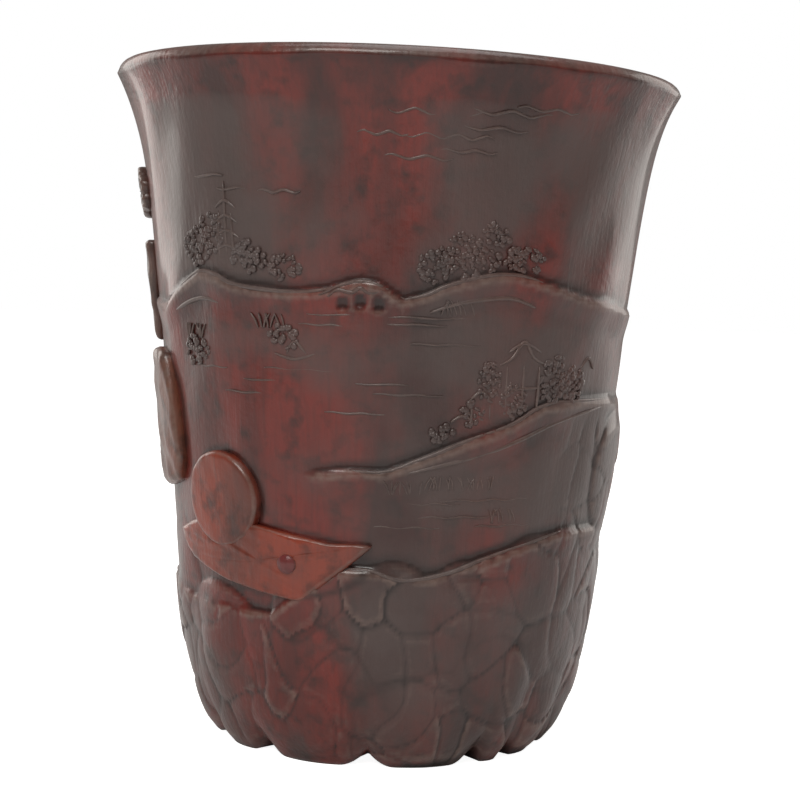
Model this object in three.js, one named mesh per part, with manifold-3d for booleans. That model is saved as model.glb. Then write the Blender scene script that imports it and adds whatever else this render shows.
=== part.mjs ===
// A carved bamboo brush pot: a flared culm wall with a lobed rock foot, a plug disc let in from below,
// and raised carvings that were cut separately and let into shallow beds in the wall.
// Millimetres and degrees, +Z up, origin on the table under the middle of the pot.
// Bearings are measured from the front (-Y) towards the right (+X).

import * as THREE from "three";
import Module from "manifold-3d";
import { mergeVertices } from "three/addons/utils/BufferGeometryUtils.js";

const wasm = await Module();
wasm.setup();

// Driving dimensions of the culm
const potHeight = 149.2;
const bodyFootRadius = 43.6; // the straight taper of the body, where it would meet the table
const bodyTaper = 0.1; // growth of the radius for each millimetre of height
const lipFlare = 6.6;
const flareReach = 11.4; // height over which the flare dies away below the lip
const footTuck = 6.8; // how far the foot is drawn in
const tuckReach = 10;
const lipSlope = 0.9; // the mouth was sawn a little out of square, higher on the left
const wallThickness = 7;
const lipRound = 2.6; // radius of the rounded edge of the mouth

// The plug disc and its seat
const discRadius = 33;
const discThickness = 6.2;
const discRecess = 2.6; // height of the disc's underside above the table
const glueLine = 0.3;
const ledgeWidth = 2.6; // how far the ring that is left of the bamboo's node covers the disc
const ledgeHeight = 3;
const ledgeFillet = 9; // height over which the ledge runs out into the bore
const discChamfer = 0.8;

// The raised carvings and their beds
const bedDepth = 0.9;
const bossRadius = 10.2;
const bossRise = 2.5;
const plateRise = 2;
const studRadius = 2.1;
const studRise = 1.1;
const studSocket = 0.6;

// Fineness of the surfaces
const columns = 72;
const outerRows = 28;
const boreRows = 6;

const degree = Math.PI / 180;
const clamp01 = (x) => Math.min(1, Math.max(0, x));
const smooth = (x) => clamp01(x) ** 2 * (3 - 2 * clamp01(x));
const wrapDegrees = (a) => ((((a + 180) % 360) + 360) % 360) - 180;

// Outside radius of the plain turned culm at a height
function outerRadius(z) {
  const flare = lipFlare * Math.exp(-(potHeight - z) / flareReach);
  const tuck = footTuck * Math.exp(-z / tuckReach);
  return bodyFootRadius + bodyTaper * z + flare - tuck;
}

const seatTop = discRecess + discThickness + glueLine;
const seatRadius = discRadius + glueLine;
const ledgeRadius = discRadius - ledgeWidth;
const ledgeTop = seatTop + ledgeHeight;

// Radius of the bore: the wall's inside face, drawn in to the ledge at the bottom
function boreRadius(z) {
  const full = outerRadius(z) - wallThickness;
  const open = smooth((z - ledgeTop) / ledgeFillet);
  return ledgeRadius + (full - ledgeRadius) * open;
}

// Rocks carved round the foot: bearing, height, half width, half height, rise
const frontRocks = [
  [-72, 30, 12, 21, 0.9],
  [-50, 25, 15, 13, 1.3],
  [-28, 12, 16, 10, 1.2],
  [-15, 34, 12, 12, 1.1],
  [2, 30, 12, 16, 1.3],
  [12, 12, 15, 12, 1.4],
  [21, 37, 10, 9, 1.2],
  [31, 18, 12, 14, 1.2],
  [41, 38, 13, 13, 1.2],
  [57, 30, 14, 20, 1.4],
  [52, 9, 12, 9, 1.2],
  [82, 62, 17, 17, 2],
  [84, 28, 16, 21, 1.6],
];
const backRockCount = 11;
const backRocks = Array.from({ length: backRockCount }, (_, i) => [
  106 + i * 16.5,
  26 + 14 * Math.sin(i * 2.1),
  12 + 2 * Math.cos(i * 1.7),
  15 + 4 * Math.sin(i * 1.3),
  1.3 + 0.3 * Math.cos(i * 2.9),
]);
const rocks = [...frontRocks, ...backRocks];

// Height of one rock's crown above the ground
function rockRise([bearing, height, halfWidth, halfHeight, rise], theta, z) {
  const across = (wrapDegrees(theta - bearing) * degree * outerRadius(z)) / halfWidth;
  const up = (z - height) / halfHeight;
  return rise * Math.sqrt(clamp01(1 - across * across - up * up));
}

// The far shore: a bank round the pot with an arched bridge at the front
const bridge = { bearing: -6.5, halfSpan: 9.5, rise: 3.4 };
const bankRise = 0.7;
const bankDepth = 9;
function farCrest(theta) {
  const hills = 101 + 2.4 * Math.sin(theta * degree * 5 + 4.4) + 1.2 * Math.sin(theta * degree * 3);
  const arch = bridge.rise * (1 - ((theta - bridge.bearing) / bridge.halfSpan) ** 2);
  return Math.max(hills, 99.6 + Math.max(0, arch));
}

// The near shore slopes up from the water at the front to the cliff on the right
const shoreRise = 0.6;
const nearCrest = (theta) => 72 - 7.5 * Math.cos((theta - 75) * degree * 2.2);

// A bank stands proud under its crest and fades into the water below it
const bankForm = (crest, depth, rise, z) =>
  rise * smooth((crest - z) / 1.5 + 0.5) * smooth((z - crest + depth) / depth);

function relief(theta, z) {
  const far = bankForm(farCrest(theta), bankDepth, bankRise, z);
  const onRight = smooth((theta + 14) / 12) * smooth((100 - theta) / 12);
  const near = onRight * bankForm(nearCrest(theta), bankDepth, shoreRise, z);
  return Math.max(far, near, ...rocks.map((rock) => rockRise(rock, theta, z)));
}

// Lobes of the foot, where the lowest rocks meet the table: bearings of the notches between them
const notches = [-172, -150, -124, -98, -63, -40, -4, 32, 44, 63, 92, 118, 146, 170];
const notchHeight = 3.2;
const lobeBulge = 1.8;
const notchReach = 5; // height over which a notch runs out
const lobeFlat = 0.5; // share of a lobe that stands on the table

// Where a bearing lies in its lobe: 0 in the middle and 1 in the notches
function lobePlace(theta) {
  const a = wrapDegrees(theta);
  const next = notches.findIndex((n) => n > a);
  const end = next < 0 ? notches[0] + 360 : notches[next];
  const start = next === 0 ? notches.at(-1) - 360 : notches.at(next < 0 ? -1 : next - 1);
  return Math.abs((2 * (a - start)) / (end - start) - 1);
}
const notchLift = (theta) => notchHeight * clamp01((lobePlace(theta) - lobeFlat) / (1 - lobeFlat)) ** 2;

const onCircle = (radius, theta, z) =>
  new THREE.Vector3(radius * Math.sin(theta * degree), -radius * Math.cos(theta * degree), z);

// A point of the wall's outside face, raised from the ground by lift
function outsidePoint(theta, z, lift) {
  const lobe = lobeBulge * (1 - lobePlace(theta) ** 2) * Math.exp(-z / tuckReach);
  const raised = z + notchLift(theta) * Math.exp(-z / notchReach);
  return onCircle(outerRadius(z) + lobe + lift, theta, raised);
}

const tiltLip = (point, theta) =>
  point.setZ(point.z - lipSlope * Math.sin(theta * degree) * clamp01(point.z / potHeight) ** 4);

// The wall's section at one bearing, a closed loop that starts at the outer edge of the foot
function wallSection(theta) {
  const lipStart = potHeight - lipRound;
  const section = [];
  for (let i = 0; i <= outerRows; i++) {
    const z = (lipStart * i) / outerRows;
    section.push(outsidePoint(theta, z, relief(theta, z)));
  }
  const lipOuter = outerRadius(lipStart);
  for (const angle of [30, 60, 90, 120, 150]) {
    const radius = lipOuter - lipRound * (1 - Math.cos(angle * degree));
    section.push(onCircle(radius, theta, lipStart + lipRound * Math.sin(angle * degree)));
  }
  for (let i = 0; i <= boreRows; i++) {
    const z = lipStart + ((ledgeTop - lipStart) * i) / boreRows;
    const edge = i === 0 ? lipOuter - 2 * lipRound : boreRadius(z);
    section.push(onCircle(edge, theta, z));
  }
  section.push(onCircle(ledgeRadius, theta, seatTop));
  section.push(onCircle(seatRadius, theta, seatTop));
  section.push(onCircle(seatRadius, theta, notchLift(theta) / 2));
  return section.map((point) => tiltLip(point, theta));
}

// A closed ring of sections, each joined to the next
function ringOfSections(sections) {
  const rows = sections[0].length;
  const position = sections.flat().flatMap((point) => point.toArray());
  const index = [];
  sections.forEach((_, i) => {
    const a = i * rows;
    const b = ((i + 1) % sections.length) * rows;
    for (let j = 0; j < rows; j++) {
      const k = (j + 1) % rows;
      index.push(a + j, b + j, b + k, a + j, b + k, a + k);
    }
  });
  const geometry = new THREE.BufferGeometry();
  geometry.setAttribute("position", new THREE.Float32BufferAttribute(position, 3));
  return geometry.setIndex(index);
}

function wallGeometry() {
  const bearings = Array.from({ length: columns }, (_, i) => -180 + (i * 360) / columns);
  return ringOfSections(bearings.map(wallSection));
}

// Solid of a closed geometry, for cutting and joining
function solid(geometry) {
  const bare = geometry.clone();
  bare.deleteAttribute("normal");
  bare.deleteAttribute("uv");
  const merged = mergeVertices(bare, 1e-4);
  return new wasm.Manifold(
    new wasm.Mesh({
      numProp: 3,
      vertProperties: new Float32Array(merged.attributes.position.array),
      triVerts: new Uint32Array(merged.index.array),
    }),
  );
}

function geometryOf(made) {
  const mesh = made.getMesh();
  const geometry = new THREE.BufferGeometry();
  geometry.setAttribute("position", new THREE.BufferAttribute(mesh.vertProperties, 3));
  geometry.setIndex(new THREE.BufferAttribute(mesh.triVerts, 1));
  geometry.computeVertexNormals();
  return geometry;
}

// A plate that follows the wall. Its outline is a function of the angle round its centre and gives
// the offsets along the wall and up it. Rings run from the centre out, over the edge and back below.
// crown says how high each ring of the face stands, as a share of the rise.
function wrappedPlate({ bearing, height, outline, rise, sides = 32, crown, spread = 0, depth, top }) {
  const rings = [];
  const faceRings = crown ?? [
    [0.45, 1],
    [0.8, 0.94],
    [0.95, 0.78],
    [1, 0.5],
  ];
  const lift = (share) => (top === undefined ? rise * share : top);
  faceRings.forEach(([size, share]) => rings.push([size, lift(share)]));
  rings.push([1, -depth], [0.55, -depth]);
  const place = (across, up, lifted) => {
    const z = height + up;
    const theta = bearing + across / (outerRadius(height) * degree);
    return onCircle(outerRadius(z) + lifted, theta, z);
  };
  const points = [place(0, 0, rings[0][1])];
  for (const [size, lifted] of rings) {
    for (let i = 0; i < sides; i++) {
      const angle = (i * 360) / sides;
      const [across, up] = outline(angle);
      const grown = 1 + spread / Math.hypot(across, up);
      points.push(place(across * size * grown, up * size * grown, lifted));
    }
  }
  points.push(place(0, 0, -depth));
  const index = [];
  const last = points.length - 1;
  for (let i = 0; i < sides; i++) {
    const k = (i + 1) % sides;
    index.push(0, 1 + i, 1 + k);
    for (let r = 0; r + 1 < rings.length; r++) {
      const a = 1 + r * sides;
      const b = a + sides;
      index.push(a + i, b + i, b + k, a + i, b + k, a + k);
    }
    const under = 1 + (rings.length - 1) * sides;
    index.push(last, under + k, under + i);
  }
  const geometry = new THREE.BufferGeometry();
  const position = points.flatMap((point) => point.toArray());
  geometry.setAttribute("position", new THREE.Float32BufferAttribute(position, 3));
  return geometry.setIndex(index);
}

const plateSolid = (spec) => solid(wrappedPlate({ ...spec, depth: bedDepth }));
const bedCutter = (spec) =>
  solid(wrappedPlate({ ...spec, spread: glueLine, depth: bedDepth + glueLine, top: spec.rise + 2 }));

// Outlines of the plates
const roundOutline = (radius) => (angle) => [radius * Math.cos(angle * degree), radius * Math.sin(angle * degree)];
const lobedOutline = (halfWidth, halfHeight, lobes, turn) => (angle) => {
  const bulge = 1 + 0.13 * Math.abs(Math.sin((angle * lobes * degree) / 2 + turn));
  return [halfWidth * bulge * Math.cos(angle * degree), halfHeight * bulge * Math.sin(angle * degree)];
};
// A plate with straight or hollow sides, given by its corners, with the corners eased
const corneredOutline = (corners) => {
  const shape = new THREE.CatmullRomCurve3(
    corners.map(([x, y]) => new THREE.Vector3(x, y, 0)),
    true,
    "catmullrom",
    0.22,
  );
  const points = shape.getPoints(160);
  return (angle) => {
    const wanted = (point) => Math.cos(Math.atan2(point.y, point.x) - angle * degree);
    const best = points.reduce((a, b) => (wanted(b) > wanted(a) ? b : a));
    const reach = Math.hypot(best.x, best.y);
    return [reach * Math.cos(angle * degree), reach * Math.sin(angle * degree)];
  };
};

const flatFace = [
  [0.6, 1],
  [0.86, 1],
  [0.97, 0.86],
  [1, 0.55],
];
const plates = {
  round_boss: {
    bearing: -44,
    height: 56.4,
    outline: roundOutline(bossRadius),
    rise: bossRise,
    sides: 36,
    crown: flatFace,
    colour: "#8a4a38",
  },
  ledge_plate: {
    bearing: -32,
    height: 44.4,
    outline: corneredOutline([
      [24, 4.6],
      [15.5, 5],
      [2, 7],
      [-12, 8.5],
      [-27, 3.5],
      [-22, -2],
      [-9, -5.5],
      [7.5, -7.8],
      [10.5, -7],
    ]),
    rise: plateRise,
    sides: 56,
    crown: flatFace,
    colour: "#8a4030",
  },
  cliff_plate_low: {
    bearing: -78,
    height: 71.5,
    outline: corneredOutline([
      [9, 14],
      [12.5, 4],
      [14.5, -8],
      [12, -13],
      [2, -15.5],
      [-11, -12],
      [-14, 2],
      [-8, 13],
      [2, 15.5],
    ]),
    rise: plateRise + 0.7,
    sides: 44,
    colour: "#84503a",
  },
  cliff_plate_high: {
    bearing: -92,
    height: 98,
    outline: corneredOutline([
      [9, 12.3],
      [8.5, 3],
      [5.5, -6],
      [4, -10],
      [-5, -9],
      [-11, 0],
      [-9, 10],
      [0, 12.6],
    ]),
    rise: plateRise + 0.2,
    sides: 40,
    colour: "#5c4034",
  },
  pine_pad_right: {
    bearing: -88,
    height: 121.5,
    outline: lobedOutline(8.5, 5.2, 7, 0.4),
    rise: plateRise,
    sides: 42,
    colour: "#5c4436",
  },
  pine_pad_middle: {
    bearing: -113,
    height: 117,
    outline: lobedOutline(10, 6, 8, 1.1),
    rise: plateRise,
    sides: 48,
    colour: "#5c4436",
  },
  pine_pad_left: {
    bearing: -139,
    height: 108,
    outline: lobedOutline(9.5, 5.6, 7, 0.2),
    rise: plateRise,
    sides: 42,
    colour: "#5c4436",
  },
  pine_trunk: {
    bearing: -121,
    height: 87,
    outline: corneredOutline([
      [6.5, 22],
      [3.8, 8],
      [4.5, -8],
      [8.5, -20],
      [0, -21.5],
      [-6.5, -19],
      [-3, -6],
      [-4, 8],
      [-8.5, 17],
      [-3, 16],
      [2.5, 21.5],
    ]),
    rise: plateRise,
    sides: 48,
    colour: "#6a4032",
  },
};

// The round stud stands in a socket in the ledge plate, on that plate's face
const studPlace = { bearing: -24, height: 44.4 };
const domeCrown = [
  [0.5, 0.9],
  [0.8, 0.62],
  [1, 0.2],
];
function studGeometry(spread, bottom, top) {
  const faceLift = plateRise;
  return wrappedPlate({
    ...studPlace,
    outline: roundOutline(studRadius),
    rise: faceLift + studRise,
    sides: 20,
    crown: domeCrown.map(([size, share]) => [size, (faceLift + studRise * share) / (faceLift + studRise)]),
    spread,
    depth: -(faceLift - bottom),
    top,
  });
}

function turned(profile) {
  return new THREE.LatheGeometry(
    profile.map(([r, z]) => new THREE.Vector2(r, z)),
    columns,
  ).rotateX(Math.PI / 2);
}

// The plug disc, chamfered where it enters its seat
function discGeometry() {
  const under = discRecess;
  const top = discRecess + discThickness;
  return turned([
    [0, under],
    [discRadius, under],
    [discRadius, top - discChamfer],
    [discRadius - discChamfer, top],
    [0, top],
  ]);
}

const pot = new THREE.Group();
function addPiece(name, geometry, colour, roughness) {
  geometry.computeVertexNormals();
  const material = new THREE.MeshStandardMaterial({ color: colour, roughness, metalness: 0 });
  const mesh = new THREE.Mesh(geometry, material);
  mesh.name = name;
  pot.add(mesh);
}

let wall = solid(wallGeometry());
const made = {};
for (const [name, spec] of Object.entries(plates)) {
  wall = wall.subtract(bedCutter(spec));
  made[name] = plateSolid(spec);
}
// The boss lies over the ledge plate, which is cut away under it
made.ledge_plate = made.ledge_plate.subtract(bedCutter(plates.round_boss));
made.ledge_plate = made.ledge_plate.subtract(solid(studGeometry(glueLine, studSocket + glueLine, plateRise + 3)));

addPiece("culm_wall", geometryOf(wall), "#63322c", 0.42);
addPiece("base_disc", discGeometry(), "#4a2a20", 0.6);
for (const [name, spec] of Object.entries(plates)) {
  addPiece(name, geometryOf(made[name]), spec.colour, 0.45);
}
addPiece("ledge_stud", studGeometry(0, studSocket), "#8a3030", 0.4);

export default pot;
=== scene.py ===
import math

import bmesh
import bpy
import numpy as np
from mathutils import Matrix, Vector


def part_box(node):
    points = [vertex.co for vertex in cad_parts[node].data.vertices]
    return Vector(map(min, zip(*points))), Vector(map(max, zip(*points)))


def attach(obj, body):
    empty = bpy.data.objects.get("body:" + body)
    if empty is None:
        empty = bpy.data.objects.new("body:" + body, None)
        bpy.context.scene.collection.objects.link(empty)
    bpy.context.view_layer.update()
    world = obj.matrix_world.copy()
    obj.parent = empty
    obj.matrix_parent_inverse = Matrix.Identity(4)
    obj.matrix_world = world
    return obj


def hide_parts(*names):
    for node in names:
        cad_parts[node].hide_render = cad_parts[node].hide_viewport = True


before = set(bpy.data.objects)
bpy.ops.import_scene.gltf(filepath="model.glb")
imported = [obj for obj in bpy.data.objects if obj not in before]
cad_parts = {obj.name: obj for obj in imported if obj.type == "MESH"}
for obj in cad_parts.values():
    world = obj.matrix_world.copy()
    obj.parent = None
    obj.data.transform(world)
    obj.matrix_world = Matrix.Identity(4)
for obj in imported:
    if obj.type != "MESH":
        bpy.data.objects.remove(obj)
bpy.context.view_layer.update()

# Camera and studio
# The pot is seen from 40 cm away and a little above its middle, against white. Soft panels stand
# behind it on both sides, so that its dark gloss gets pale edges, and soft lights hang in front of
# it and above it.
eye = Vector((0, -0.399, 0.10615))
pitch, yaw, roll = (math.radians(angle) for angle in (4.37, 0.33, 1.84))
focal_mm = 77.7


def wire(tree, kind, sockets=(), **settings):
    """Adds a node with its settings and the values or links of its inputs, and gives its outputs."""
    made = tree.nodes.new(kind)
    for key, value in settings.items():
        setattr(made, key, value)
    for key, value in dict(sockets).items():
        if isinstance(value, bpy.types.NodeSocket):
            tree.links.new(value, made.inputs[key])
        else:
            made.inputs[key].default_value = value
    return made.outputs


def add_camera():
    camera = bpy.data.objects.new("camera", bpy.data.cameras.new("camera"))
    camera.data.sensor_width = 36
    camera.data.lens = focal_mm
    turn = Matrix.Rotation(-yaw, 4, "Z") @ Matrix.Rotation(math.pi / 2 - pitch, 4, "X")
    camera.matrix_world = Matrix.Translation(eye) @ turn @ Matrix.Rotation(roll, 4, "Z")
    bpy.context.collection.objects.link(camera)
    bpy.context.scene.camera = camera


def add_surroundings():
    """Dim warm light from all round, and white where the camera looks past the pot."""
    bpy.context.scene.view_settings.view_transform = "Standard"
    world = bpy.data.worlds.new("surroundings")
    world.use_nodes = True
    tree = world.node_tree
    tree.nodes.clear()
    seen = wire(tree, "ShaderNodeLightPath")["Is Camera Ray"]
    room = wire(tree, "ShaderNodeBackground", {"Color": (1, 0.92, 0.86, 1), "Strength": 0.19})[0]
    white = wire(tree, "ShaderNodeBackground", {"Color": (1, 1, 1, 1), "Strength": 1})[0]
    mixed = wire(tree, "ShaderNodeMixShader", {0: seen, 1: room, 2: white})[0]
    wire(tree, "ShaderNodeOutputWorld", {"Surface": mixed})
    bpy.context.scene.world = world


def add_panel(name, place, width, height, watts, colour=(1, 1, 1)):
    """A soft rectangular light that faces the pot."""
    light = bpy.data.lights.new(name, "AREA")
    light.shape = "RECTANGLE"
    light.size = width
    light.size_y = height
    light.energy = watts
    light.color = colour
    panel = bpy.data.objects.new(name, light)
    panel.location = place
    panel.rotation_euler = (Vector(place) - Vector((0, 0, 0.08))).to_track_quat("Z", "Y").to_euler()
    panel.visible_camera = False
    bpy.context.collection.objects.link(panel)


def add_floor():
    half = 3
    mesh = bpy.data.meshes.new("floor")
    corners = [(-half, -half, 0), (half, -half, 0), (half, half, 0), (-half, half, 0)]
    mesh.from_pydata(corners, [], [(0, 1, 2, 3)])
    material = bpy.data.materials.new("floor")
    material.use_nodes = True
    tree = material.node_tree
    surface = tree.nodes["Principled BSDF"]
    surface.inputs["Base Color"].default_value = (0.85, 0.85, 0.85, 1)
    surface.inputs["Roughness"].default_value = 0.9
    surface.inputs["Emission Color"].default_value = (1, 1, 1, 1)
    seen = wire(tree, "ShaderNodeLightPath")["Is Camera Ray"]
    lifted = wire(tree, "ShaderNodeMath", {0: seen, 1: 0.93}, operation="MULTIPLY")[0]
    tree.links.new(lifted, surface.inputs["Emission Strength"])
    mesh.materials.append(material)
    floor = bpy.data.objects.new("floor", mesh)
    bpy.context.collection.objects.link(floor)


add_camera()
add_surroundings()
add_floor()
add_panel("panel_left", (-0.9, 0.75, 0.35), 0.7, 0.9, 3.6, (1, 0.95, 0.9))
add_panel("panel_right", (0.9, 0.75, 0.35), 0.7, 0.9, 2.8, (1, 0.95, 0.9))
add_panel("key_light", (-0.35, -0.9, 1.0), 0.7, 0.5, 7, (1, 0.97, 0.93))
add_panel("top_light", (0.1, 0.1, 1.3), 1.0, 1.0, 5)

# culm_wall
# A length of thick bamboo with a flared mouth. The scene is carved from its skin: rocks that run out
# into the lobes of the foot, a near shore, and far hills with a bridge. It has a worn glossy
# red-brown patina, grey where wax and dust have settled.

# Sizes here and in the sections below are in millimetres, and bearings in degrees from the front
# towards the right.
lip_slope = 0.9
pot_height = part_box("culm_wall")[1].z * 1000 - lip_slope
body_foot_radius = 43.6
body_taper = 0.1
lip_flare = 6.6
flare_reach = 11.4
foot_tuck = 6.8
tuck_reach = 10
lip_round = 2.6
wall_thickness = 7
seat_radius = 33.3
ledge_radius = 30.4
seat_top = 9.1
ledge_top = seat_top + 3
ledge_fillet = 9
notch_height = 3.2
notch_reach = 5
lobe_bulge = 1.8
lobe_flat = 0.5
front_columns = 350
back_columns = 90
outer_rows = 185
lip_rows = 12
bore_rows = 22
front_edge = 100
# How far each bank of the carving stands out, and how far below its crest it fades away
far_rise, far_depth = 0.8, 7
near_rise, near_depth = 0.9, 8
low_rise, low_depth = 0.9, 60
facet_size, facet_rise = 8.5, 0.6
wave_rise, wave_pitch = 0.2, 16
arch_depth = 0.9
# Each rock's bearing, height, half width, half height and rise
rocks = [
    (-72, 30, 12, 21, 0.9), (-50, 25, 15, 13, 1.3), (-28, 12, 16, 10, 1.2), (-15, 34, 12, 12, 1.1),
    (2, 30, 12, 16, 1.3), (12, 12, 15, 12, 1.4), (21, 37, 10, 9, 1.2), (31, 18, 12, 14, 1.2),
    (41, 38, 13, 13, 1.2), (57, 30, 14, 20, 1.4), (52, 9, 12, 9, 1.2), (82, 62, 17, 17, 2),
    (84, 28, 16, 21, 1.6),
]
# Bearings of the notches between the lobes of the foot
notches = np.array([-172, -150, -124, -98, -63, -40, -4, 32, 44, 63, 92, 118, 146, 170])
# Bearings and heights along the crests of the far hills, the near shore and the lower rocks
far_crest = np.array([
    (-180, 101), (-110, 99), (-66, 96.5), (-56, 101.1), (-49, 104), (-43, 103.5), (-37, 101.6),
    (-23, 100.6), (-15, 101.3), (-10, 102.6), (-7, 103.3), (-3, 102.7), (2, 99.8), (7, 101), (12, 103.1),
    (21, 105.3), (28, 105.5), (34, 104.2), (50, 101), (90, 97), (150, 103), (180, 101),
])
near_crest = np.array([
    (-24, 63), (-9, 64.8), (-1, 64.7), (6, 67), (12, 69.1), (19, 71.6), (29, 74.6), (39, 78.7),
    (52, 79.3), (68, 79), (90, 76), (110, 70),
])
ridge_crest = np.array([
    (-180, 44), (-60, 33), (-30, 33), (-12, 44), (-4, 44.1), (4, 42.2), (14, 43.3), (24, 46.2),
    (36, 48.9), (50, 51.1), (80, 50), (180, 44),
])
# Bearing, height, half width and half height of the beds, whose joints are darkened with painted shade
beds = [(-44, 56.4, 10.2, 10.2), (-78, 71.5, 14, 15.5), (-92, 98, 9.5, 12.5), (-30, 44.4, 20, 7)]
# Bearings and heights of the openings under the bridge
bridge_arches = [(-11, 98.9), (-7, 99.4), (-3, 99)]
# Bearing, height, half width, half height and amount of dust, less than nothing where it is rubbed off
dust_zones = [
    (-47, 127, 17, 14, 0.75), (-38, 109, 13, 8, 0.9), (20, 119, 18, 20, 0.6), (48, 126, 16, 16, 0.5),
    (35, 88, 22, 10, 0.8), (62, 68, 18, 14, 0.8), (28, 60, 26, 8, 0.7), (-22, 88, 16, 6, 0.35),
    (18, 26, 26, 16, 0.5), (-64, 20, 16, 20, 0.6), (-5, 35, 10, 8, 0.5), (-2, 120, 7, 24, -0.6),
    (-30, 76, 18, 10, -0.5), (-42, 98, 20, 4, -0.5), (34, 110, 7, 24, -0.5), (-20, 18, 10, 6, -0.6),
    (-30, 40, 40, 18, -0.3), (0, 146, 200, 6, -0.4), (140, 100, 40, 24, 0.5),
    (-140, 70, 40, 30, 0.4), (100, 30, 20, 20, 0.5),
]
plain_dust, dust_strength = 0.2, 0.75
# The band under the lip, kept free of dust so it shows darker red: painted shade under the flare
under_lip_shade_low, under_lip_shade_high = 138, 147
# The lip's rounded roll is painted paler all round: a painted highlight where it catches the light.
lip_highlight = 0.55
# Depth below its surroundings for full painted shade, and height above them for full wear and painted
# highlight
shade_depth, wear_highlight_height = 0.28, 0.16


def smooth(x):
    x = np.clip(x, 0, 1)
    return x * x * (3 - 2 * x)


def wrap(bearing):
    return (bearing + 180) % 360 - 180


def outer_radius(z):
    """Outside radius of the plain culm."""
    flare = lip_flare * np.exp((z - pot_height) / flare_reach)
    return body_foot_radius + body_taper * z + flare - foot_tuck * np.exp(-z / tuck_reach)


def bore_radius(z):
    full = outer_radius(z) - wall_thickness
    return ledge_radius + (full - ledge_radius) * smooth((z - ledge_top) / ledge_fillet)


def lobe_place(bearing):
    """0 in the middle of a lobe of the foot and 1 in the notches beside it."""
    around = wrap(bearing)
    around = np.where(around < notches[0], around + 360, around)
    edges = np.append(notches, notches[0] + 360)
    lobe = np.clip(np.searchsorted(edges, around, side="right") - 1, 0, len(notches) - 1)
    return np.abs(2 * (around - edges[lobe]) / (edges[lobe + 1] - edges[lobe]) - 1)


def notch_lift(bearing):
    past_flat = (lobe_place(bearing) - lobe_flat) / (1 - lobe_flat)
    return notch_height * np.clip(past_flat, 0, 1) ** 2


def crest(line, bearing):
    return np.interp(wrap(bearing), line[:, 0], line[:, 1])


def bank(line, depth, bearing, z):
    """1 just under a crest line, fading out over the depth below it."""
    edge = 1.2
    top = crest(line, bearing)
    return smooth((top - z) / edge + 0.5) * smooth((z - top + depth) / depth)


def ripple(bearing, z, pitch_mm, seed):
    """Gentle uneven waves between about -1 and 1 that close round the pot."""
    rng = np.random.default_rng(seed)
    total = np.zeros(np.broadcast(bearing, z).shape)
    waves = 9
    mean_girth = 314
    for _ in range(waves):
        turns = round(rng.uniform(0.3, 1) * mean_girth / pitch_mm)
        rise = rng.uniform(-0.8, 0.8) * 2 * math.pi / pitch_mm
        total += np.sin(np.radians(bearing) * turns + z * rise + rng.uniform(0, 6.28))
    return total / math.sqrt(waves)


def chiselled(bearing, z, size, seed):
    """Facets left by the chisel: a random level for each cell, with a groove between the cells."""
    rng = np.random.default_rng(seed)
    warp = 2.4
    tallness = 1.3
    mean_radius, half_girth = 44, 138
    lowest, highest = -5, 88
    across = np.radians(wrap(bearing)) * mean_radius + warp * ripple(bearing, z, 22, seed)
    z = z + warp * ripple(bearing, z, 17, seed + 1) + 0 * across
    nearest = np.full(across.shape, 1e9)
    second = nearest.copy()
    level = np.zeros(across.shape)
    for x0 in np.arange(-half_girth, half_girth, size):
        for z0 in np.arange(lowest, highest, size * tallness):
            dx, dz = rng.uniform(-0.5, 0.5, 2) * size
            tone = rng.uniform(0, 1)
            away = np.hypot(across - x0 - dx, (z - z0 - dz) / tallness)
            level = np.where(away < nearest, tone, level)
            second = np.minimum(second, np.maximum(away, nearest))
            nearest = np.minimum(nearest, away)
    swell = 1 - np.clip(nearest / size, 0, 1) ** 2
    return 0.8 * level + swell - 0.2 * np.exp(-(((second - nearest) / 0.8) ** 2)) - 0.5


def relief(bearing, z):
    """How far the carving stands proud of the plain culm."""
    far = far_rise * bank(far_crest, far_depth, bearing, z)
    near_side = smooth((bearing + 22) / 8) * smooth((112 - bearing) / 12)
    near = near_rise * near_side * bank(near_crest, near_depth, bearing, z)
    low = low_rise * bank(ridge_crest, low_depth, bearing, z)
    dome = np.zeros(np.shape(low))
    for place, height, half_width, half_height, rise in rocks:
        across = np.radians(wrap(bearing - place)) * outer_radius(z) / half_width
        up = (z - height) / half_height
        dome = np.maximum(dome, rise * np.sqrt(np.clip(1 - across**2 - up**2, 0, 1)))
    stony = smooth((crest(ridge_crest, bearing) - z) / 2 + 0.5)
    cliff = smooth((bearing - 42) / 14) * smooth((120 - bearing) / 16) * smooth((76 - z) / 5)
    face = chiselled(bearing, z, facet_size, 5) * facet_rise * np.maximum(stony, 0.8 * cliff)
    arches = np.zeros(np.shape(low))
    for place, height in bridge_arches:
        away = ((bearing - place) / 1.3) ** 2 + ((z - height) / 1.4) ** 4
        arches = np.maximum(arches, np.exp(-away))
    fade = smooth((z + 1) / 4)
    return (np.maximum.reduce([far, near, low, dome]) + face - arch_depth * arches) * fade


def on_circle(radius, bearing, z):
    angle = np.radians(bearing)
    return np.stack(np.broadcast_arrays(radius * np.sin(angle), -radius * np.cos(angle), z), -1)


def tilt_lip(points, bearing):
    lean = lip_slope * np.sin(np.radians(bearing)) * np.clip(points[..., 2] / pot_height, 0, 1) ** 4
    points[..., 2] -= lean
    return points


def wall_point(bearing, z, lift):
    """A point on the carved outside of the wall, or raised from it."""
    lobe = lobe_bulge * (1 - lobe_place(bearing) ** 2) * np.exp(-z / tuck_reach)
    raised = z + notch_lift(bearing) * np.exp(-z / notch_reach)
    return tilt_lip(on_circle(outer_radius(z) + lobe + lift, bearing, raised), bearing)


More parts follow.
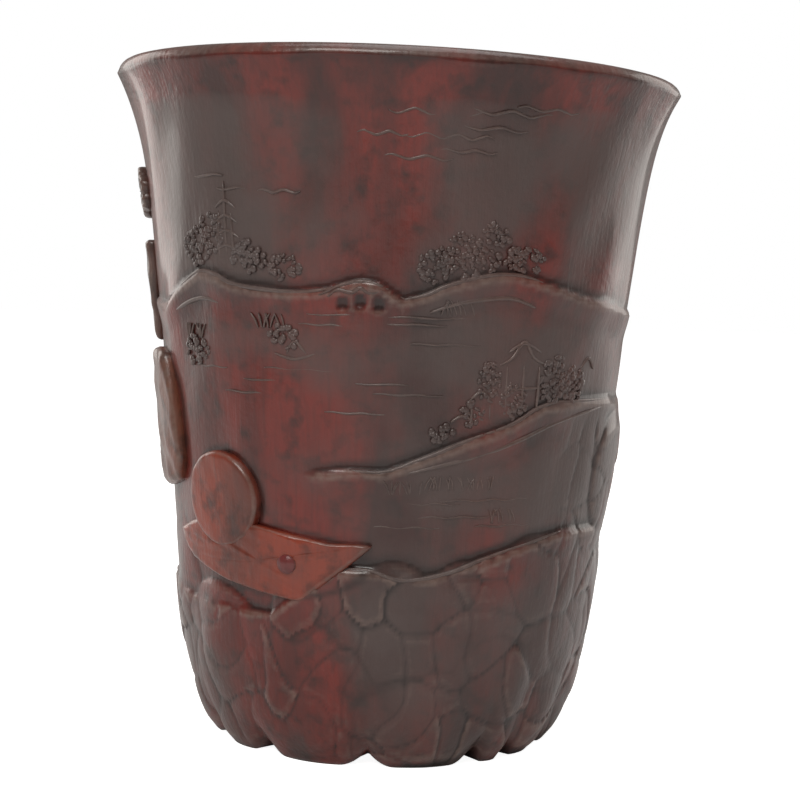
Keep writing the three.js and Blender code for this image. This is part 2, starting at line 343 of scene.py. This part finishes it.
def add_piece(name, points_mm, faces, material, attributes=()):
    """A smooth mesh in the pot's frame that rides on the pot."""
    mesh = bpy.data.meshes.new(name)
    mesh.from_pydata((np.asarray(points_mm) / 1000).tolist(), [], faces)
    for key, values in dict(attributes).items():
        layer = mesh.attributes.new(key, "FLOAT", "POINT")
        layer.data.foreach_set("value", np.ravel(values).astype(np.float32))
    work = bmesh.new()
    work.from_mesh(mesh)
    bmesh.ops.recalc_face_normals(work, faces=work.faces)
    work.to_mesh(mesh)
    work.free()
    mesh.shade_smooth()
    mesh.materials.append(material)
    piece = bpy.data.objects.new(name, mesh)
    bpy.context.collection.objects.link(piece)
    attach(piece, "root")
    return piece


def mix(tree, share, first, second):
    blend = tree.nodes.new("ShaderNodeMix")
    blend.data_type = "RGBA"
    for index, value in ((0, share), (6, first), (7, second)):
        if isinstance(value, bpy.types.NodeSocket):
            tree.links.new(value, blend.inputs[index])
        else:
            blend.inputs[index].default_value = value
    return blend.outputs[2]


def spread(tree, value, low, high, to_low=0.0, to_high=1.0):
    ends = {"Value": value, "From Min": low, "From Max": high, "To Min": to_low, "To Max": to_high}
    return wire(tree, "ShaderNodeMapRange", ends)[0]


def noise(tree, vector, scale, detail=3):
    return wire(tree, "ShaderNodeTexNoise", {"Vector": vector, "Scale": scale, "Detail": detail})[0]


def patina_group():
    """Colour, roughness and height of old handled bamboo, with painted shade and highlight, from its
    masks and three colours.
    """
    group = bpy.data.node_groups.new("patina", "ShaderNodeTree")
    for name in ("Clean", "Deep", "Dust"):
        group.interface.new_socket(name, in_out="INPUT", socket_type="NodeSocketColor")
    for name in ("Dusting", "Hollow", "Wear_and_highlight"):
        group.interface.new_socket(name, in_out="INPUT", socket_type="NodeSocketFloat")
    for name, kind in (("Color", "Color"), ("Roughness", "Float"), ("Height", "Float")):
        group.interface.new_socket(name, in_out="OUTPUT", socket_type=f"NodeSocket{kind}")
    given = wire(group, "NodeGroupInput")
    place = wire(group, "ShaderNodeTexCoord")["Object"]
    along = wire(group, "ShaderNodeMapping", {"Vector": place, "Scale": (1, 1, 0.05)})[0]
    drawn = wire(group, "ShaderNodeMapping", {"Vector": place, "Scale": (1, 1, 0.18)})[0]
    fibre = noise(group, along, 1100)
    streak = noise(group, drawn, 70, 4)
    patch = noise(group, place, 75, 6)
    speck = noise(group, place, 700, 4)
    body = mix(group, spread(group, streak, 0.42, 0.62), given["Clean"], given["Deep"])
    body = mix(group, spread(group, fibre, 0.45, 0.75, 0, 0.35), body, given["Deep"])
    mottle = noise(group, place, 230, 5)
    stain = (0.02, 0.009, 0.007, 1)
    body = mix(group, spread(group, mottle, 0.5, 0.72, 0, 0.75), body, stain)
    uneven = wire(group, "ShaderNodeMath", {0: given["Dusting"], 1: patch}, operation="ADD")[0]
    dusty = spread(group, uneven, 0.52, 1.05, 0, 0.85)
    body = mix(group, dusty, body, given["Dust"])
    # Wear and painted highlight: where this mask is high, specks turn a paler brown.
    scuff_and_highlight = wire(group, "ShaderNodeMath", {0: given["Wear_and_highlight"], 1: speck}, operation="MULTIPLY")[0]
    wear_and_painted_light = (0.25, 0.17, 0.14, 1)
    # Painted shade: near black where the hollow mask marks recesses in the carving.
    painted_shade_colour = (0.012, 0.006, 0.005, 1)
    body = mix(group, spread(group, scuff_and_highlight, 0.1, 0.6, 0, 0.6), body, wear_and_painted_light)
    body = mix(group, spread(group, given["Hollow"], 0.05, 1, 0, 0.85), body, painted_shade_colour)
    rough = spread(group, dusty, 0, 1, 0.3, 0.5)
    grain = wire(group, "ShaderNodeMath", {0: fibre, 1: speck}, operation="ADD")[0]
    height = wire(group, "ShaderNodeMath", {0: patch, 1: 5, 2: grain}, operation="MULTIPLY_ADD")[0]
    wire(group, "NodeGroupOutput", {"Color": body, "Roughness": rough, "Height": height})
    return group


patina = patina_group()


def patina_material(name, clean, deep, dust, dusting=0.0):
    """Worn gloss over bamboo. The mesh's attributes say where it is dusty, where its hollows get painted
    shade, and where wear and painted highlight pale it.
    """
    grain_metres = 0.00012
    material = bpy.data.materials.new(name)
    material.use_nodes = True
    tree = material.node_tree
    given = {}
    for mask in ("Dusting", "Hollow", "Wear_and_highlight"):
        given[mask] = wire(tree, "ShaderNodeAttribute", attribute_name=mask)["Fac"]
    given["Dusting"] = wire(tree, "ShaderNodeMath", {0: given["Dusting"], 1: dusting}, operation="ADD")[0]
    for key, colour in (("Clean", clean), ("Deep", deep), ("Dust", dust)):
        given[key] = (*colour, 1)
    look = wire(tree, "ShaderNodeGroup", given, node_tree=patina)
    raised = wire(tree, "ShaderNodeBump", {"Height": look["Height"], "Distance": grain_metres})[0]
    surface = tree.nodes["Principled BSDF"]
    tree.links.new(look["Color"], surface.inputs["Base Color"])
    tree.links.new(look["Roughness"], surface.inputs["Roughness"])
    tree.links.new(raised, surface.inputs["Normal"])
    surface.inputs["Coat Weight"].default_value = 0.5
    surface.inputs["Coat Roughness"].default_value = 0.11
    return material


culm_red = (0.2, 0.022, 0.014)
culm_deep = (0.055, 0.015, 0.012)
culm_dust = (0.098, 0.068, 0.062)
culm_material = patina_material("culm_patina", culm_red, culm_deep, culm_dust)


def blur(values, reach):
    """Running mean both ways over a grid whose columns close round the pot."""
    for axis in (0, 1):
        total = sum(np.roll(values, shift, axis) for shift in range(-reach, reach + 1))
        values = total / (2 * reach + 1)
    return values


def add_culm_wall():
    """The wall as one closed ring of sections, set closer at the front, with dust, wear, painted shade
    and painted highlight in masks.
    """
    front = np.linspace(-front_edge, front_edge, front_columns)
    back = np.linspace(front_edge, 360 - front_edge, back_columns)[1:-1]
    bearing = np.concatenate([front, back])[:, None]
    lip_start = pot_height - lip_round
    z = np.linspace(0, lip_start, outer_rows)[None, :]
    rise = relief(bearing, z) + wave_rise * ripple(bearing, z, wave_pitch, 3) * smooth(z / 10)
    outside = wall_point(bearing, z, rise)
    angle = np.radians(np.linspace(0, 180, lip_rows + 2)[1:-1])[None, :]
    lip_outer = outer_radius(lip_start)
    lip_radius = lip_outer - lip_round * (1 - np.cos(angle))
    lip = on_circle(lip_radius, bearing, lip_start + lip_round * np.sin(angle))
    down = np.linspace(lip_start, ledge_top, bore_rows)[None, :]
    inner = np.where(down == lip_start, lip_outer - 2 * lip_round, bore_radius(down))
    bore = on_circle(inner, bearing, down)
    seat = [(ledge_radius, seat_top), (seat_radius, seat_top)]
    rebate = [on_circle(np.full(bearing.shape, r), bearing, np.full(bearing.shape, h)) for r, h in seat]
    under = on_circle(np.full(bearing.shape, seat_radius), bearing, notch_lift(bearing) / 2)
    points = np.concatenate([outside, tilt_lip(lip, bearing), tilt_lip(bore, bearing), *rebate, under], 1)
    columns, rows = points.shape[:2]
    a = np.arange(columns)[:, None] * rows + np.arange(rows)[None, :]
    b = np.roll(a, -1, 0)
    faces = np.stack([a, b, np.roll(b, -1, 1), np.roll(a, -1, 1)], -1).reshape(-1, 4).tolist()
    hollow = np.zeros((columns, rows))
    wear_and_highlight = hollow.copy()
    # Painted shade: spots lower than their blurred surroundings are darkened.
    hollow[:, :outer_rows] = np.clip((blur(rise, 3) - rise) / shade_depth, 0, 1)
    # Raised spots are paler: wear, and painted highlight on the edges of the carving.
    wear_and_highlight[:, :outer_rows] = np.clip((rise - blur(rise, 2)) / wear_highlight_height, 0, 1)
    wear_and_highlight[:, outer_rows : outer_rows + lip_rows] = lip_highlight
    # Painted shade: a dark ring along the joint round each applied plate.
    for place, height, half_width, half_height in beds:
        across = np.radians(wrap(bearing - place)) * outer_radius(height) / half_width
        away = np.hypot(across, (z - height) / half_height)
        joint = 0.8 * np.exp(-(((away - 1.05) / 0.08) ** 2))
        hollow[:, :outer_rows] = np.maximum(hollow[:, :outer_rows], joint)
    dusting = np.full((columns, rows), plain_dust)
    for place, height, width, tall, amount in dust_zones:
        near = ((wrap(bearing - place)) / width) ** 2 + ((z - height) / tall) ** 2
        dusting[:, :outer_rows] += amount * dust_strength * np.exp(-near)
    # Painted shade: dust is taken off the band under the flared lip, so it shows darker red.
    wear_and_painted_light = smooth((z - under_lip_shade_low) / 4) * smooth((under_lip_shade_high - z) / 3)
    dusting[:, :outer_rows] -= 0.5 * wear_and_painted_light
    masks = {"Dusting": dusting, "Hollow": hollow, "Wear_and_highlight": wear_and_highlight}
    wall = add_piece("culm", points.reshape(-1, 3), faces, culm_material, masks)
    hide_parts("culm_wall")


add_culm_wall()

# base_disc
# The floor is a turned plug of dark bamboo. It is let in from below and glued under the ring that is
# left of the culm's node.
floor_material = patina_material(
    "floor_patina", (0.07, 0.03, 0.018), (0.035, 0.016, 0.01), culm_dust, 0.2
)
floor_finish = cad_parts["base_disc"].data.materials
floor_finish.clear()
floor_finish.append(floor_material)

# round_boss
# The orange-red disc is a separate flat round of bamboo, let into a shallow bed and glued. Its edge
# is eased, worn and painted paler as a painted highlight, and painted shade darkens the joint round it.
boss_bearing, boss_height = -44, 56.4
boss_radius = 10.2
boss_rise = 2.5
bed_depth = 0.9
applied_material = patina_material(
    "applied_patina", (0.32, 0.05, 0.022), (0.13, 0.034, 0.022), (0.12, 0.07, 0.06)
)


def curve_through(points, closed, steps=8, tension=0.5):
    """Points of a smooth line through the given ones."""
    knots = np.array(points, float)
    count = len(knots)
    around = (lambda i: i % count) if closed else (lambda i: min(max(i, 0), count - 1))
    line = []
    for i in range(count if closed else count - 1):
        p0, p1, p2, p3 = (knots[around(i + k)] for k in (-1, 0, 1, 2))
        m1, m2 = tension * (p2 - p0), tension * (p3 - p1)
        for t in np.arange(steps) / steps:
            ease = (2 * t**3 - 3 * t**2 + 1, t**3 - 2 * t**2 + t, 3 * t**2 - 2 * t**3, t**3 - t**2)
            line.append(ease[0] * p1 + ease[1] * m1 + ease[2] * p2 + ease[3] * m2)
    if not closed:
        line.append(knots[-1])
    return np.array(line)


def add_plate(name, bearing, height, outline, rise, carve, material, crown=0.08):
    """A plate that follows the wall: rings from its middle out, over the eased edge and back below."""
    outline = np.array(outline)
    count = len(outline)
    face_sizes = (0.12, 0.25, 0.38, 0.5, 0.62, 0.73, 0.83, 0.9)
    rings = [(size, 0) for size in face_sizes]
    rings += [(0.95, 0.06), (0.98, 0.2), (1, 0.42), (1, 1), (0.6, 1)]

    def place(across, up, lift):
        bearings = bearing + np.degrees(across / outer_radius(height))
        return on_circle(outer_radius(height + up) + lift, bearings, height + up)

    def lifted(across, up, size, fall):
        """The eased edge falls by a share of the rise, and a full fall is the bottom of the bed."""
        if fall == 1:
            return -bed_depth
        return rise * (1 - crown * size**4) - carve(across, up) - rise * fall

    middle = np.zeros(1)
    points = [place(middle, middle, rise - carve(middle, middle))]
    wear_and_highlight = [np.zeros(1)]
    for size, fall in rings:
        across, up = outline[:, 0] * size, outline[:, 1] * size
        points.append(place(across, up, lifted(across, up, size, fall)))
        # The eased edge is paler: wear, and painted highlight on the bevel.
        wear_and_highlight.append(np.full(count, 0.8 if 0 < fall < 0.3 else 0.0))
    points.append(place(middle, middle, np.full(1, -bed_depth)))
    wear_and_highlight.append(np.zeros(1))
    points = np.concatenate(points)
    ring = np.arange(count)
    following = np.roll(ring, -1)
    faces = [(0, 1 + i, 1 + k) for i, k in zip(ring, following)]
    for step in range(len(rings) - 1):
        a = 1 + step * count
        faces += [(a + i, a + count + i, a + count + k, a + k) for i, k in zip(ring, following)]
    last = 1 + (len(rings) - 1) * count
    faces += [(len(points) - 1, last + k, last + i) for i, k in zip(ring, following)]
    faces = [tuple(int(v) for v in face) for face in faces]
    masks = {"Wear_and_highlight": np.concatenate(wear_and_highlight)}
    piece = add_piece(f"{name}_carved", points, faces, material, masks)
    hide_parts(name)


def round_outline(radius, count=96):
    turn = np.linspace(0, 2 * math.pi, count, endpoint=False)
    return np.stack([radius * np.cos(turn), radius * np.sin(turn)], -1)


def dished(across, up):
    """The face of the disc is slightly hollow and unevenly scraped."""
    return 0.12 * np.exp(-(across**2 + up**2) / 40) + 0.05 * np.sin(across * 1.3 + up * 0.6)


boss_outline = round_outline(boss_radius)
add_plate("round_boss", boss_bearing, boss_height, boss_outline, boss_rise, dished, applied_material)

# ledge_plate
# The slab under the disc is a pointed flat piece of bamboo, glued in its own bed. The disc lies over
# its upper edge, and its face is lightly scraped.
ledge_bearing, ledge_height = -32, 44.4
ledge_rise = 2
ledge_corners = [
    (24, 4.6), (15.5, 5), (2, 7), (-12, 8.5), (-27, 3.5), (-22, -2), (-9, -5.5), (7.5, -7.8),
    (10.5, -7),
]
stud_bearing = -24


def scraped(across, up):
    return 0.1 * np.sin(across * 0.9 + up * 2.2) + 0.06 * np.sin(across * 2.3 - up)


def plate_outline(corners):
    """A closed outline through the corners, which it rounds a little."""
    return curve_through(corners, True, 14, 0.22)


ledge_outline = plate_outline(ledge_corners)
add_plate(
    "ledge_plate", ledge_bearing, ledge_height, ledge_outline, ledge_rise, scraped, applied_material, 0.02
)

# ledge_stud
# A small round-headed pin of dark red bamboo. It is pushed into a socket in the slab and stands a
# little above its face.
stud_radius = 2.1
stud_rise = 1.1
stud_material = patina_material("stud_patina", (0.2, 0.025, 0.025), (0.08, 0.015, 0.015), culm_dust)


def domed(across, up):
    return 0.7 * stud_rise * (across**2 + up**2) / stud_radius**2


stud_outline = round_outline(stud_radius, 32)
stud_top = ledge_rise + stud_rise
add_plate("ledge_stud", stud_bearing, ledge_height, stud_outline, stud_top, domed, stud_material, 0)

# cliff_plate_low
# The tan cliff on the left is a thicker plate of bamboo with a steep chiselled face. It is glued in
# its bed, and painted shade darkens the joint along its edge.
cliff_low_bearing, cliff_low_height = -78, 71.5
cliff_low_rise = 2.7
cliff_low_corners = [
    (9, 14), (12.5, 4), (14.5, -8), (12, -13), (2, -15.5), (-11, -12), (-14, 2), (-8, 13), (2, 15.5),
]
cliff_material = patina_material(
    "cliff_patina", (0.22, 0.06, 0.03), (0.08, 0.032, 0.02), (0.11, 0.075, 0.06), 0.15
)


def faceted(across, up):
    """Long chisel cuts down the cliff."""
    cuts = np.abs(np.sin(across * 0.42 + 0.5 * np.sin(up * 0.25)))
    return 0.35 * cuts + 0.12 * np.sin(up * 0.8 + across)


cliff_low_outline = plate_outline(cliff_low_corners)
add_plate(
    "cliff_plate_low", cliff_low_bearing, cliff_low_height, cliff_low_outline, cliff_low_rise, faceted,
    cliff_material,
)

# cliff_plate_high
# Above it a second, darker plate of bamboo is glued in its bed. It has a square upper corner and
# narrows downwards.
cliff_high_bearing, cliff_high_height = -92, 98
cliff_high_rise = 2.2
cliff_high_corners = [
    (9, 12.3), (8.5, 3), (5.5, -6), (4, -10), (-5, -9), (-11, 0), (-9, 10), (0, 12.6),
]
dark_material = patina_material(
    "dark_patina", (0.11, 0.035, 0.022), (0.045, 0.02, 0.015), (0.09, 0.068, 0.06), 0.2
)
cliff_high_outline = plate_outline(cliff_high_corners)
add_plate(
    "cliff_plate_high", cliff_high_bearing, cliff_high_height, cliff_high_outline, cliff_high_rise,
    faceted, dark_material,
)

# pine_pad_right, pine_pad_middle and pine_pad_left
# The pads of a pine's foliage are three lobed plates of dark bamboo, each glued in its own bed. Their
# needles are cut from the middle outwards.
pad_rise = 2
# Each pad's bearing, height, half width, half height, number of lobes and their turn
pine_pads = {
    "pine_pad_right": (-88, 121.5, 8.5, 5.2, 7, 0.4),
    "pine_pad_middle": (-113, 117, 10, 6, 8, 1.1),
    "pine_pad_left": (-139, 108, 9.5, 5.6, 7, 0.2),
}


def pad_outline(half_width, half_height, lobes, turn):
    angle = np.linspace(0, 2 * math.pi, 160, endpoint=False)
    bulge = 1 + 0.13 * np.abs(np.sin(angle * lobes / 2 + turn))
    return np.stack([half_width * bulge * np.cos(angle), half_height * bulge * np.sin(angle)], -1)


def needled(across, up):
    away = np.hypot(across, up * 1.7)
    return 0.3 * np.abs(np.sin(np.arctan2(up, across) * 14)) * smooth(away / 3)


for name, (bearing, height, *shape) in pine_pads.items():
    add_plate(name, bearing, height, pad_outline(*shape), pad_rise, needled, dark_material)

# pine_trunk
# The pine's trunk is a long plate of bamboo glued in its bed, with flared roots and a forked top. Its
# bark is cut in scales.
trunk_bearing, trunk_height = -121, 87
trunk_rise = 2
trunk_corners = [
    (6.5, 22), (3.8, 8), (4.5, -8), (8.5, -20), (0, -21.5), (-6.5, -19), (-3, -6), (-4, 8),
    (-8.5, 17), (-3, 16), (2.5, 21.5),
]


def barked(across, up):
    return 0.3 * np.abs(np.sin(up * 1.1 + 0.8 * np.sin(across * 1.2))) * np.abs(np.cos(across * 0.7))


trunk_outline = plate_outline(trunk_corners)
add_plate("pine_trunk", trunk_bearing, trunk_height, trunk_outline, trunk_rise, barked, cliff_material)

# clouds, ripples, rims, buildings and reeds
# The finest work is low rounded ridges left between gouge cuts: clouds, ripples on the water, the
# bridge's parapet, the pavilion, the pagoda, reeds and the rims of the banks. They are one with the
# wall, and their paler, greyer colour and pale tops are wear and painted highlight.
# Painted highlight: a paler, greyer bamboo colour stands in for light on the ridges and dabs.
line_highlight_material = patina_material(
    "line_highlight_patina", (0.12, 0.045, 0.034), (0.05, 0.026, 0.022), (0.13, 0.1, 0.095), 0.35
)
section = np.array([(-1, -0.6), (-0.75, 0.45), (0, 1), (0.75, 0.45), (1, -0.6)])


def add_ridges(name, lines, width, rise, sunk=0):
    """Low ridges along lines of bearings and heights, tapered at both ends."""
    blocks, faces = [], []
    base = 0
    sides = len(section)
    for line in lines:
        path = curve_through(line, False, 6)
        bearing, z = path[:, 0], path[:, 1]
        centre = wall_point(bearing, z, relief(bearing, z) - sunk)
        along = np.gradient(centre, axis=0)
        along /= np.linalg.norm(along, axis=1)[:, None]
        out = on_circle(1, bearing, 0 * z)
        side = np.cross(along, out)
        taper = np.sin(np.linspace(0.08, math.pi - 0.08, len(path))) ** 0.5
        strands = []
        for x, y in section:
            aside = side * (x * width / 2 * taper)[:, None]
            strands.append(centre + aside + out * (y * rise * taper)[:, None])
        blocks.append(np.stack(strands, 1).reshape(-1, 3))
        for i in range(len(path) - 1):
            for j in range(sides):
                k = (j + 1) % sides
                a, b = base + i * sides, base + (i + 1) * sides
                faces.append((a + j, b + j, b + k, a + k))
        faces.append(tuple(base + j for j in range(sides)))
        faces.append(tuple(base + (len(path) - 1) * sides + j for j in reversed(range(sides))))
        base += len(path) * sides
    points = np.concatenate(blocks)
    masks = {"Wear_and_highlight": np.full(len(points), 0.5)}
    add_piece(name, points, faces, line_highlight_material, masks)


def wavy(bearing, z, half, rise, waves):
    """A level line that waves, as clouds and ripples are cut."""
    spots = np.linspace(-1, 1, 4 * waves + 1)
    return [(bearing + half * s, z + 0.6 * rise * math.sin(s * waves * math.pi)) for s in spots]


clouds = [
    wavy(-3, 132.4, 5, 0.7, 2), wavy(8, 136.8, 10, 0.9, 3), wavy(20, 137.4, 12, 0.8, 3),
    wavy(30, 138.7, 7, 0.6, 2), wavy(10, 132.3, 9, 0.8, 3), wavy(18, 134.2, 8, 0.6, 2),
    wavy(4, 128, 7, 0.7, 2), wavy(14, 129.6, 6, 0.5, 2), wavy(-44, 123.6, 5, 0.4, 1),
    wavy(-37, 121, 4, 0.4, 1), wavy(-25, 120.6, 5, 0.5, 2), wavy(130, 130, 16, 0.9, 4),
    wavy(150, 126, 14, 0.8, 3), wavy(-160, 132, 14, 0.8, 3),
]
add_ridges("clouds", clouds, 0.7, 0.3)

ripples = [
    wavy(0, 96.3, 19, 0.25, 3), wavy(3, 94.9, 9, 0.2, 2), wavy(-15, 94.2, 6, 0.2, 2),
    wavy(-21, 84.9, 9, 0.25, 2), wavy(-2, 82.6, 6, 0.2, 1), wavy(4, 80.6, 8, 0.2, 2),
    wavy(-30, 82.3, 6, 0.2, 1), wavy(-47, 84.3, 6, 0.2, 2), wavy(12, 91, 8, 0.2, 2),
    wavy(-34, 79.5, 8, 0.2, 2), wavy(-8, 76.5, 7, 0.2, 2), wavy(24, 58.9, 12, 0.3, 3),
    wavy(10, 58.2, 8, 0.3, 2), wavy(17, 55.4, 12, 0.3, 3), wavy(30, 53.4, 8, 0.3, 2),
    wavy(5, 53.2, 8, 0.3, 2), wavy(120, 88, 18, 0.3, 4), wavy(140, 84, 16, 0.3, 4),
]
add_ridges("ripples", ripples, 0.5, 0.22)

rims = [
    far_crest[2:10],
    [(-16, 100.2), (-11, 102.4), (-7, 103.2), (-3, 102.5), (3, 99.6)],
    far_crest[12:18],
    near_crest[1:10],
    [(63, 77.7), (45, 75.3), (32, 71.4), (22, 68.5), (10, 65.8), (4, 64.4)],
    ridge_crest[3:10],
    [(-14, 100), (-12, 101.4), (-9, 101), (-7, 101.9), (-5, 101), (-2, 101.3), (0, 99.9)],
    [(-66, 93), (-57, 96.6), (-48, 98.5), (-40, 97)], [(8, 97.5), (16, 99.8), (26, 100.8), (33, 99)],
]
add_ridges("rims", rims, 1.1, 0.5, 0.1)

buildings = [
    [(-39, 122.4), (-39.2, 107)], [(-37.4, 116.5), (-37, 107)], [(-41, 116.5), (-41.4, 107)],
    *[[(-43 + k / 3, 108 + 3 * k), (-39, 109.6 + 3 * k), (-35 - k / 3, 108 + 3 * k)] for k in range(4)],
    [(25, 87), (28, 88.6), (31, 92), (34, 88.6), (38.5, 87)], [(27, 89.7), (31, 91.6), (36, 89.7)],
    [(27, 87), (27.2, 76.5)], [(31.5, 87), (31.7, 76.5)], [(36, 87), (36.2, 77.5)],
    [(25.5, 82), (38, 82.4)],
    [(18, 79.5), (21, 81.6), (24, 79.5)], [(18.8, 79.5), (18.9, 74)], [(23.2, 79.5), (23.4, 75)],
    [(14, 75.2), (17, 76.6), (20, 75)], [(50, 86), (53, 88.4), (56, 86)], [(51, 86), (51, 80)],
    [(-27, 88), (-22, 87), (-17, 88.3)], [(-24, 88), (-22, 90.6), (-19, 88)],
]
add_ridges("buildings", buildings, 0.8, 0.5)

rng = np.random.default_rng(11)
reeds = []
# Bearing, height and number of blades of each tuft
tufts = [(4, 60, 9), (12, 61, 9), (22, 61, 10), (30, 54, 7), (-28, 93, 8), (-52, 90, 9), (14, 97, 8)]
for place, height, count in tufts:
    for _ in range(count):
        bearing = place + rng.uniform(-4, 4)
        lean = rng.uniform(-2, 2)
        bend = (bearing + 0.4 * lean, height + 1.6)
        reeds.append([(bearing, height), bend, (bearing + lean, height + 3)])
add_ridges("reeds", reeds, 0.45, 0.3)

# foliage
# Trees on the far hills and round the pavilion are clusters of small rounded dabs, each left
# standing between gouge cuts. They are one with the wall.
# The dabs take the ridges' paler, greyer colour, which is painted highlight.
dab_radius = 0.7
dab_lift = 0.05
smallest_dab, largest_dab = (0.6, 0.6, 0.45), (1.3, 1.3, 0.8)
dab_seed = 4
# Each crown's bearing, height, half width in degrees, half height and number of pairs of dabs
tree_crowns = [
    (-49, 109, 5, 4, 26), (-44, 112, 4, 4, 20), (-33, 107.5, 5, 3.4, 24), (-24, 105.5, 4, 2.6, 16),
    (9, 107, 4, 3.6, 22), (15, 109, 5, 4.6, 32), (21, 111, 4, 5, 26), (29, 108.5, 5, 3, 22),
    (23, 83.5, 3, 4, 18), (29.5, 80, 4, 4, 20), (41, 84, 5, 5, 32), (48, 83, 4, 4, 20),
    (19, 77, 3, 2.4, 10), (12, 72.6, 3, 2, 10), (-52, 87.5, 5, 3, 16), (-25, 91.5, 5, 2.4, 14),
    (110, 108, 9, 4, 40), (135, 104, 7, 5, 36), (165, 109, 8, 4, 36), (100, 84, 8, 4, 30),
]


def dab_tree():
    """Puts a flattened rounded dab on each point, facing outwards, with uneven sizes."""
    tree = bpy.data.node_groups.new("dabs", "GeometryNodeTree")
    tree.interface.new_socket("Points", in_out="INPUT", socket_type="NodeSocketGeometry")
    tree.interface.new_socket("Radius", in_out="INPUT", socket_type="NodeSocketFloat")
    tree.interface.new_socket("Dabs", in_out="OUTPUT", socket_type="NodeSocketGeometry")
    given = wire(tree, "NodeGroupInput")
    shape = {"Segments": 8, "Rings": 5, "Radius": given["Radius"]}
    dab = wire(tree, "GeometryNodeMeshUVSphere", shape)["Mesh"]
    named = {"Name": "outward"}
    outward = wire(tree, "GeometryNodeInputNamedAttribute", named, data_type="FLOAT_VECTOR")[0]
    facing = wire(tree, "FunctionNodeAlignRotationToVector", {"Vector": outward}, axis="Z")[0]
    sizes = tree.nodes.new("FunctionNodeRandomValue")
    sizes.data_type = "FLOAT_VECTOR"
    sizes.inputs[0].default_value = smallest_dab
    sizes.inputs[1].default_value = largest_dab
    sizes.inputs["Seed"].default_value = dab_seed
    spots = {"Points": given["Points"], "Instance": dab, "Rotation": facing, "Scale": sizes.outputs[0]}
    placed = wire(tree, "GeometryNodeInstanceOnPoints", spots)[0]
    real = wire(tree, "GeometryNodeRealizeInstances", {"Geometry": placed})[0]
    dressed = wire(tree, "GeometryNodeSetMaterial", {"Geometry": real, "Material": line_highlight_material})[0]
    wire(tree, "NodeGroupOutput", {"Dabs": dressed})
    return tree


def add_foliage():
    """Scatters the dabs over the crowns and turns them into one mesh."""
    spots = []
    for place, height, wide, tall, count in tree_crowns:
        for _ in range(2 * count):
            angle, reach = rng.uniform(0, 2 * math.pi), math.sqrt(rng.uniform(0, 1))
            aside, up = wide * reach * math.cos(angle), tall * reach * math.sin(angle)
            spots.append((place + aside, height + up))
    spots = np.array(spots)
    bearing, z = spots[:, 0], spots[:, 1]
    points = wall_point(bearing, z, relief(bearing, z) + dab_lift) / 1000
    mesh = bpy.data.meshes.new("foliage_points")
    mesh.from_pydata(points.tolist(), [], [])
    outward = mesh.attributes.new("outward", "FLOAT_VECTOR", "POINT")
    outward.data.foreach_set("vector", on_circle(1, bearing, 0 * z).ravel().astype(np.float32))
    source = bpy.data.objects.new("foliage_points", mesh)
    bpy.context.collection.objects.link(source)
    tree = dab_tree()
    modifier = source.modifiers.new("dabs", "NODES")
    modifier.node_group = tree
    sockets = {item.name: item.identifier for item in tree.interface.items_tree}
    modifier[sockets["Radius"]] = dab_radius / 1000
    ready = source.evaluated_get(bpy.context.evaluated_depsgraph_get())
    made = bpy.data.meshes.new_from_object(ready)
    made.name = "foliage"
    made.shade_smooth()
    bpy.data.objects.remove(source)
    foliage = bpy.data.objects.new("foliage", made)
    bpy.context.collection.objects.link(foliage)
    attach(foliage, "root")


add_foliage()
